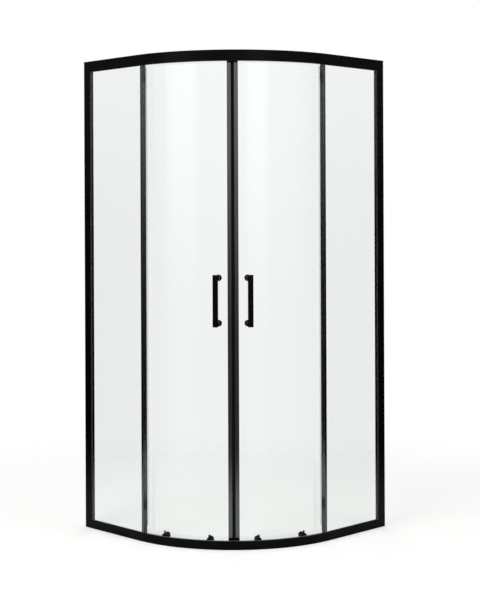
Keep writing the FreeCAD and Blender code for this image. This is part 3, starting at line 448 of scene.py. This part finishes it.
def sized_tree(name, sizes):
    """A tree that takes a start mesh and named sizes, with its group input."""
    tree = bpy.data.node_groups.new(name, "GeometryNodeTree")
    tree.interface.new_socket("Geometry", in_out="INPUT", socket_type="NodeSocketGeometry")
    for size, kind in sizes.items():
        tree.interface.new_socket(size, in_out="INPUT", socket_type="NodeSocket" + kind)
    tree.interface.new_socket("Geometry", in_out="OUTPUT", socket_type="NodeSocketGeometry")
    return tree, add(tree, "NodeGroupInput").outputs


def end_tree(tree, geometry, material):
    """Makes the instances real, gives them their finish and leads them out."""
    real = add(tree, "GeometryNodeRealizeInstances", {0: geometry})
    finished = add(tree, "GeometryNodeSetMaterial", {"Geometry": real.outputs[0], "Material": material})
    add(tree, "NodeGroupOutput", {0: finished.outputs[0]})


def start_mesh(name, points, edges=(), facing=()):
    """A mesh of points and edges, with the direction that each point's piece faces."""
    mesh = bpy.data.meshes.new(name)
    mesh.from_pydata(points, edges, [])
    attribute = mesh.attributes.new("facing", "FLOAT_VECTOR", "POINT")
    for item, direction in zip(attribute.data, facing):
        item.vector = direction
    return mesh


def grow(name, tree, start, sizes):
    """Runs a tree on a start mesh and keeps the result as a plain mesh."""
    piece = bpy.data.objects.new(name, start)
    scene.collection.objects.link(piece)
    modifier = piece.modifiers.new(name, "NODES")
    modifier.node_group = tree
    for item in tree.interface.items_tree:
        if item.in_out == "INPUT" and item.name in sizes:
            modifier[item.identifier] = sizes[item.name]
    evaluated = piece.evaluated_get(bpy.context.evaluated_depsgraph_get())
    mesh = bpy.data.meshes.new_from_object(evaluated)
    piece.modifiers.remove(modifier)
    piece.data = mesh
    return piece


def other_side(point):
    """A right-hand point's twin on the left, mirrored in the upright plane through the plan's corner."""
    return Vector((-point.y, -point.x, point.z))


def brush_tree():
    """A backing strip on each edge of the start mesh, and bristles through it along the facing direction."""
    tree, given = sized_tree("brush_strip", {
        "Spacing": "Float", "Radius": "Float", "Tip Radius": "Float", "Length": "Float", "Shortest": "Float",
        "Half Width": "Float", "Lean": "Float", "Backing": "Vector", "Seed": "Int",
    })
    facing = add(tree, "GeometryNodeInputNamedAttribute", {"Name": "facing"}, data_type="FLOAT_VECTOR")
    side = add(tree, "ShaderNodeVectorMath", {0: facing.outputs[0], 1: (0.0, 0.0, 1.0)},
               operation="CROSS_PRODUCT")
    run = add(tree, "GeometryNodeMeshToCurve", {0: given["Geometry"]})
    roots = add(tree, "GeometryNodeResampleCurve",
                {"Curve": run.outputs[0], "Length": given["Spacing"]}, mode="LENGTH")
    other_half = add(tree, "ShaderNodeMath", {0: given["Half Width"], 1: -1.0}, operation="MULTIPLY")
    # A random value's plain numbers are its inputs 2 and 3 and its output 1, and its vectors come first
    across = add(tree, "FunctionNodeRandomValue", {
        2: other_half.outputs[0], 3: given["Half Width"], "Seed": given["Seed"],
    }, data_type="FLOAT")
    shift = add(tree, "ShaderNodeVectorMath", {0: side.outputs[0], "Scale": across.outputs[1]},
                operation="SCALE")
    spread = add(tree, "GeometryNodeSetPosition", {"Geometry": roots.outputs[0], "Offset": shift.outputs[0]})
    stray = add(tree, "FunctionNodeRandomValue",
                {0: (-1.0, -1.0, -1.0), 1: (1.0, 1.0, 1.0), "Seed": given["Seed"]}, data_type="FLOAT_VECTOR")
    sway = add(tree, "ShaderNodeVectorMath", {0: stray.outputs[0], "Scale": given["Lean"]},
               operation="SCALE")
    lean = add(tree, "ShaderNodeVectorMath", {0: facing.outputs[0], 1: sway.outputs[0]}, operation="ADD")
    turn = add(tree, "FunctionNodeAlignRotationToVector", {"Vector": lean.outputs[0]}, axis="Z")
    bristle = add(tree, "GeometryNodeMeshCone", {
        "Vertices": BRISTLE_SIDES, "Radius Bottom": given["Radius"], "Radius Top": given["Tip Radius"],
        "Depth": given["Length"],
    })
    trim = add(tree, "FunctionNodeRandomValue", {2: given["Shortest"], 3: 1.0, "Seed": given["Seed"]},
               data_type="FLOAT")
    pile = add(tree, "GeometryNodeInstanceOnPoints", {
        "Points": spread.outputs[0], "Instance": bristle.outputs[0], "Rotation": turn.outputs[0],
        "Scale": trim.outputs[1],
    })
    # The even points are the feet of the edges, and carry the backing
    number = add(tree, "GeometryNodeInputIndex")
    odd = add(tree, "ShaderNodeMath", {0: number.outputs[0], 1: 2.0}, operation="MODULO")
    foot = add(tree, "ShaderNodeMath", {0: odd.outputs[0], 1: 0.5}, operation="LESS_THAN")
    strip = add(tree, "GeometryNodeMeshCube", {"Size": given["Backing"]})
    seat = add(tree, "ShaderNodeVectorMath", {0: given["Backing"], 1: (0.5, 0.0, 0.5)}, operation="MULTIPLY")
    seated = add(tree, "GeometryNodeTransform",
                 {"Geometry": strip.outputs[0], "Translation": seat.outputs[0]})
    upright = add(tree, "FunctionNodeAlignRotationToVector", {"Vector": facing.outputs[0]},
                  axis="X", pivot_axis="Z")
    backing = add(tree, "GeometryNodeInstanceOnPoints", {
        "Points": given["Geometry"], "Selection": foot.outputs[0], "Instance": seated.outputs[0],
        "Rotation": upright.outputs[0],
    })
    both = add(tree, "GeometryNodeJoinGeometry", {0: [pile.outputs[0], backing.outputs[0]]})
    end_tree(tree, both.outputs[0], PILE)
    return tree


def brush_strips():
    """A brush strip on each stile, with its pile towards the door behind it."""
    low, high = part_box("brush_seals")
    middle = high.y - BRUSH_BASE_WIDTH / 2
    foot = Vector((high.x, middle, low.z))
    head = Vector((high.x, middle, high.z))
    points = [foot, head, other_side(foot), other_side(head)]
    inward = Vector((-1.0, 0.0, 0.0))
    facing = [inward, inward, other_side(inward), other_side(inward)]
    start = start_mesh("brush_runs", points, [(0, 1), (2, 3)], facing)
    piece = grow("brush_strips", brush_tree(), start, {
        "Spacing": BRISTLE_SPACING,
        "Radius": BRISTLE_RADIUS,
        "Tip Radius": BRISTLE_RADIUS * BRISTLE_TIP_SHARE,
        "Length": BRUSH_BASE_DEPTH + PILE_LENGTH,
        "Shortest": SHORTEST_BRISTLE_SHARE,
        "Half Width": PILE_WIDTH / 2,
        "Lean": BRISTLE_LEAN,
        "Backing": (BRUSH_BASE_DEPTH, BRUSH_BASE_WIDTH, high.z - low.z),
        "Seed": BRUSH_SEED,
    })
    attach(piece, "frame")
    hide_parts("brush_seals")


def screw_tree():
    """A pan-head screw with a cross recess on each point, its head along the facing direction."""
    tree, given = sized_tree("cross_head_screw", {
        "Head Radius": "Float", "Crown Radius": "Float", "Head Height": "Float", "Shank Radius": "Float",
        "Reach": "Float", "Cross": "Vector",
    })
    head = add(tree, "GeometryNodeMeshCone", {
        "Vertices": SCREW_HEAD_SIDES, "Radius Bottom": given["Head Radius"],
        "Radius Top": given["Crown Radius"], "Depth": given["Head Height"],
    })
    rise = add(tree, "ShaderNodeCombineXYZ", {"Z": given["Head Height"]})
    cuts = []
    for turn in (0.0, math.pi / 2):
        bar = add(tree, "GeometryNodeMeshCube", {"Size": given["Cross"]})
        cut = add(tree, "GeometryNodeTransform", {
            "Geometry": bar.outputs[0], "Translation": rise.outputs[0], "Rotation": (0.0, 0.0, turn),
        })
        cuts.append(cut.outputs[0])
    recess = add(tree, "GeometryNodeMeshBoolean", {0: head.outputs[0], 1: cuts},
                 operation="DIFFERENCE", solver="EXACT")
    shank = add(tree, "GeometryNodeMeshCylinder", {
        "Vertices": SCREW_SHANK_SIDES, "Radius": given["Shank Radius"], "Depth": given["Reach"],
    })
    drop = add(tree, "ShaderNodeMath", {0: given["Reach"], 1: -0.5}, operation="MULTIPLY")
    under = add(tree, "ShaderNodeCombineXYZ", {"Z": drop.outputs[0]})
    sunk = add(tree, "GeometryNodeTransform",
               {"Geometry": shank.outputs[0], "Translation": under.outputs[0]})
    screw = add(tree, "GeometryNodeJoinGeometry", {0: [recess.outputs[0], sunk.outputs[0]]})
    facing = add(tree, "GeometryNodeInputNamedAttribute", {"Name": "facing"}, data_type="FLOAT_VECTOR")
    turned = add(tree, "FunctionNodeAlignRotationToVector", {"Vector": facing.outputs[0]}, axis="Z")
    placed = add(tree, "GeometryNodeInstanceOnPoints", {
        "Points": given["Geometry"], "Instance": screw.outputs[0], "Rotation": turned.outputs[0],
    })
    end_tree(tree, placed.outputs[0], STEEL)
    return tree


def screw_set(name, node, tree, seats, heading, reach):
    """Screws on both sides from the right-hand seats and heading."""
    points = seats + [other_side(seat) for seat in seats]
    facing = [heading] * len(seats) + [other_side(heading)] * len(seats)
    piece = grow(name, tree, start_mesh(name, points, facing=facing), {
        "Head Radius": SCREW_HEAD_RADIUS,
        "Crown Radius": SCREW_CROWN_RADIUS,
        "Head Height": SCREW_HEAD_HEIGHT,
        "Shank Radius": SCREW_SHANK_RADIUS,
        "Reach": reach,
        "Cross": (CROSS_LENGTH, CROSS_WIDTH, 2 * CROSS_DEPTH),
    })
    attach(piece, "frame")
    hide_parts(node)


def frame_screws():
    """The screws that lock the posts to the wall profiles, and those that draw the rails to the posts."""
    tree = screw_tree()
    low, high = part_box("adjusting_screws")
    first = low.z + SCREW_HEAD_RADIUS
    last = high.z - SCREW_HEAD_RADIUS
    seats = [Vector((high.x - ADJUSTING_SCREW_REACH, high.y - SCREW_HEAD_RADIUS, height))
             for height in (first, (first + last) / 2, last)]
    screw_set("adjusting_cross_screws", "adjusting_screws", tree, seats, Vector((-1.0, 0.0, 0.0)),
              ADJUSTING_SCREW_REACH)
    low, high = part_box("rail_corner_screws")
    seats = [Vector((high.x - SCREW_HEAD_RADIUS, high.y - CORNER_SCREW_REACH, height))
             for height in (low.z + SCREW_HEAD_RADIUS, high.z - SCREW_HEAD_RADIUS)]
    screw_set("corner_cross_screws", "rail_corner_screws", tree, seats, Vector((0.0, -1.0, 0.0)),
              CORNER_SCREW_REACH)


def spring_tree():
    """A coil of round wire that stands on the start mesh's point."""
    tree, given = sized_tree("coil_spring", {
        "Turns": "Float", "Coil Radius": "Float", "Wire Radius": "Float", "Height": "Float",
    })
    coil = add(tree, "GeometryNodeCurveSpiral", {
        "Resolution": SPRING_STEPS_PER_TURN, "Rotations": given["Turns"],
        "Start Radius": given["Coil Radius"], "End Radius": given["Coil Radius"], "Height": given["Height"],
    })
    wire = add(tree, "GeometryNodeCurvePrimitiveCircle",
               {"Resolution": SPRING_WIRE_SIDES, "Radius": given["Wire Radius"]})
    solid = add(tree, "GeometryNodeCurveToMesh",
                {"Curve": coil.outputs[0], "Profile Curve": wire.outputs[0], "Fill Caps": True})
    smooth = add(tree, "GeometryNodeSetShadeSmooth", {"Geometry": solid.outputs[0]})
    placed = add(tree, "GeometryNodeInstanceOnPoints",
                 {"Points": given["Geometry"], "Instance": smooth.outputs[0]})
    end_tree(tree, placed.outputs[0], STEEL)
    return tree


def release_springs():
    """The coils under the release buttons, which the buttons press together."""
    tree = spring_tree()
    for side in ("left", "right"):
        for place in ("leading", "trailing"):
            node = f"{side}_{place}_release_spring"
            low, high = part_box(node)
            height = high.z - low.z
            foot = Vector(((low.x + high.x) / 2, (low.y + high.y) / 2, low.z + SPRING_WIRE_RADIUS))
            piece = grow(f"{side}_{place}_coil", tree, start_mesh(node, [foot]), {
                "Turns": SPRING_TURNS,
                "Coil Radius": (high.x - low.x) / 2 - SPRING_WIRE_RADIUS,
                "Wire Radius": SPRING_WIRE_RADIUS,
                "Height": height - 2 * SPRING_WIRE_RADIUS,
            })
            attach(piece, f"{side}_door")
            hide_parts(node)
            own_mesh(piece)


dress_frame()
bent_pieces()
brush_strips()
frame_screws()
release_springs()

# Stage

# Floor, in metres, and the share of it that is gone close to the object
FLOOR_REACH = 3.0
FLOOR_DROP = 0.0006
FADE_START = 0.9
FADE_END = 2.6
NEAREST_FADE = 0.45

# Studio that gloss shows: levels of light, and where they change. Heights run from -1 straight down to 1
# straight up, and the ways to the front and to white from -1 straight behind the object to 1 in front of it
FRONT = Vector((math.sqrt(0.5), -math.sqrt(0.5), 0.0))
HORIZON = (-0.1, 0.12)
LOWER_LIGHT = 0.17
CEILING_LIGHT = 0.85
SIDE_HORIZON = (-0.05, 0.12)
LOWER_SIDE_SHARE = 0.0
UPPER_SIDE_SHARE = 0.5
SIDE_TO_FRONT = (0.1, 0.7)
STUDIO_TO_WHITE = (-0.85, -0.98)
FILL_LIGHT = 0.5
# Reflector panels, as bearing from the front and half width in degrees, and brightness
PANELS = ((-50.0, 8.0, 0.8), (22.0, 2.0, 1.0))
PANEL_SOFTNESS = 11.0

# Lamps, as place and size in metres and power in watts
LAMPS = (
    ("key_lamp", (0.6, -3.6, 3.8), 2.4, 150.0),
    ("fill_lamp", (3.8, 0.4, 3.0), 2.0, 60.0),
    ("back_lamp", (-2.6, 2.8, 3.6), 2.0, 60.0),
)


def pale_floor():
    """A matt white studio floor that keeps the shadow and fades out into the white away from the object."""
    material, tree = blank_material("matt_white_floor")
    place = add(tree, "ShaderNodeTexCoord").outputs["Object"]
    distance = add(tree, "ShaderNodeVectorMath", {0: place}, operation="LENGTH")
    fade = add(tree, "ShaderNodeMapRange", {
        "Value": distance.outputs["Value"], "From Min": FADE_START, "From Max": FADE_END,
        "To Min": NEAREST_FADE, "To Max": 1.0,
    }, interpolation_type="SMOOTHSTEP")
    paint = add(tree, "ShaderNodeBsdfDiffuse", {"Color": linear("#f2f2f0")})
    gone = add(tree, "ShaderNodeBsdfTransparent", {"Color": linear("#ffffff")})
    mixed = add(tree, "ShaderNodeMixShader", {0: fade.outputs[0], 1: paint.outputs[0], 2: gone.outputs[0]})
    add(tree, "ShaderNodeOutputMaterial", {"Surface": mixed.outputs[0]})
    mesh = bpy.data.meshes.new("floor")
    level = cad_box[0].z - FLOOR_DROP
    corners = [(x * FLOOR_REACH, y * FLOOR_REACH, level) for x, y in ((-1, -1), (1, -1), (1, 1), (-1, 1))]
    mesh.from_pydata(corners, [], [(0, 1, 2, 3)])
    mesh.materials.append(material)
    floor = bpy.data.objects.new("floor", mesh)
    scene.collection.objects.link(floor)


def studio_world():
    """White behind the object and through its glass, and an even fill for its matt faces. Gloss shows the
    white behind and, in front, a studio with a pale ceiling, a dim lower half, sides that darken downwards
    and upright panels. Light that has once been mirrored shows the studio, also through glass."""
    world = bpy.data.worlds.new("studio")
    world.use_nodes = True
    scene.world = world
    tree = world.node_tree
    tree.nodes.clear()
    way = add(tree, "ShaderNodeTexCoord").outputs["Generated"]
    height = add(tree, "ShaderNodeSeparateXYZ", {0: way}).outputs["Z"]
    ceiling = add(tree, "ShaderNodeMapRange", {
        "Value": height, "From Min": HORIZON[0], "From Max": HORIZON[1],
        "To Min": LOWER_LIGHT, "To Max": CEILING_LIGHT,
    }, interpolation_type="SMOOTHSTEP")
    flat = add(tree, "ShaderNodeVectorMath", {0: way, 1: (1.0, 1.0, 0.0)}, operation="MULTIPLY")
    level = add(tree, "ShaderNodeVectorMath", {0: flat.outputs[0]}, operation="NORMALIZE").outputs[0]
    front = add(tree, "ShaderNodeVectorMath", {0: level, 1: FRONT}, operation="DOT_PRODUCT").outputs["Value"]
    sides = add(tree, "ShaderNodeMapRange", {
        "Value": height, "From Min": SIDE_HORIZON[0], "From Max": SIDE_HORIZON[1],
        "To Min": LOWER_SIDE_SHARE, "To Max": UPPER_SIDE_SHARE,
    }, interpolation_type="SMOOTHSTEP")
    share = add(tree, "ShaderNodeMapRange", {
        "Value": front, "From Min": SIDE_TO_FRONT[0], "From Max": SIDE_TO_FRONT[1],
        "To Min": sides.outputs[0], "To Max": 1.0,
    }, interpolation_type="SMOOTHSTEP").outputs[0]
    for turn, half_width, brightness in PANELS:
        aim = Matrix.Rotation(math.radians(turn), 3, "Z") @ FRONT
        closeness = add(tree, "ShaderNodeVectorMath", {0: level, 1: aim}, operation="DOT_PRODUCT")
        panel = add(tree, "ShaderNodeMapRange", {
            "Value": closeness.outputs["Value"],
            "From Min": math.cos(math.radians(half_width + PANEL_SOFTNESS)),
            "From Max": math.cos(math.radians(half_width)),
            "To Min": 0.0, "To Max": brightness,
        }, interpolation_type="SMOOTHSTEP")
        share = add(tree, "ShaderNodeMath", {0: share, 1: panel.outputs[0]}, operation="ADD").outputs[0]
    studio = add(tree, "ShaderNodeMath", {0: ceiling.outputs[0], 1: share}, operation="MULTIPLY")
    around = add(tree, "ShaderNodeMapRange", {
        "Value": front, "From Min": STUDIO_TO_WHITE[0], "From Max": STUDIO_TO_WHITE[1],
        "To Min": studio.outputs[0], "To Max": 1.0,
    }, interpolation_type="SMOOTHSTEP")
    white = linear("#ffffff")
    fill = add(tree, "ShaderNodeBackground", {"Color": white, "Strength": FILL_LIGHT})
    gloss = add(tree, "ShaderNodeBackground", {"Color": white, "Strength": around.outputs[0]})
    plain = add(tree, "ShaderNodeBackground", {"Color": white, "Strength": 1.0})
    path = add(tree, "ShaderNodeLightPath").outputs
    mirrored = add(tree, "ShaderNodeMath", {0: path["Glossy Depth"], 1: 1.0}, operation="MINIMUM")
    seen = add(tree, "ShaderNodeMath", {0: path["Is Camera Ray"], 1: path["Is Transmission Ray"]},
               operation="MAXIMUM")
    lit = add(tree, "ShaderNodeMixShader", {0: seen.outputs[0], 1: fill.outputs[0], 2: plain.outputs[0]})
    whole = add(tree, "ShaderNodeMixShader",
                {0: mirrored.outputs[0], 1: lit.outputs[0], 2: gloss.outputs[0]})
    add(tree, "ShaderNodeOutputWorld", {"Surface": whole.outputs[0]})


def soft_box(name, place, aim, size, power):
    """A square soft lamp that lights matt faces and stays out of the mirror images."""
    lamp = bpy.data.lights.new(name, "AREA")
    lamp.size = size
    lamp.energy = power
    holder = bpy.data.objects.new(name, lamp)
    holder.location = place
    holder.rotation_euler = (Vector(aim) - Vector(place)).to_track_quat("-Z", "Y").to_euler()
    holder.visible_camera = False
    holder.visible_glossy = False
    holder.visible_transmission = False
    scene.collection.objects.link(holder)


def studio_lights():
    """The lamps, all aimed at the middle of the object."""
    middle = (cad_box[0] + cad_box[1]) / 2
    for name, place, size, power in LAMPS:
        soft_box(name, place, middle, size, power)


def photo_camera():
    """Level, at the photograph's height and heading, with the frame moved down to take in the object."""
    lens = bpy.data.cameras.new("camera")
    lens.lens = CAMERA_LENS
    lens.sensor_width = SENSOR_WIDTH
    lens.shift_y = CAMERA_SHIFT
    camera = bpy.data.objects.new("camera", lens)
    heading = Matrix.Rotation(math.radians(CAMERA_HEADING - 90), 4, "Z")
    level = Matrix.Rotation(math.radians(90), 4, "X")
    roll = Matrix.Rotation(math.radians(CAMERA_ROLL), 4, "Z")
    camera.matrix_world = Matrix.Translation(CAMERA_PLACE) @ heading @ level @ roll
    scene.collection.objects.link(camera)
    scene.camera = camera


pale_floor()
studio_world()
studio_lights()
photo_camera()
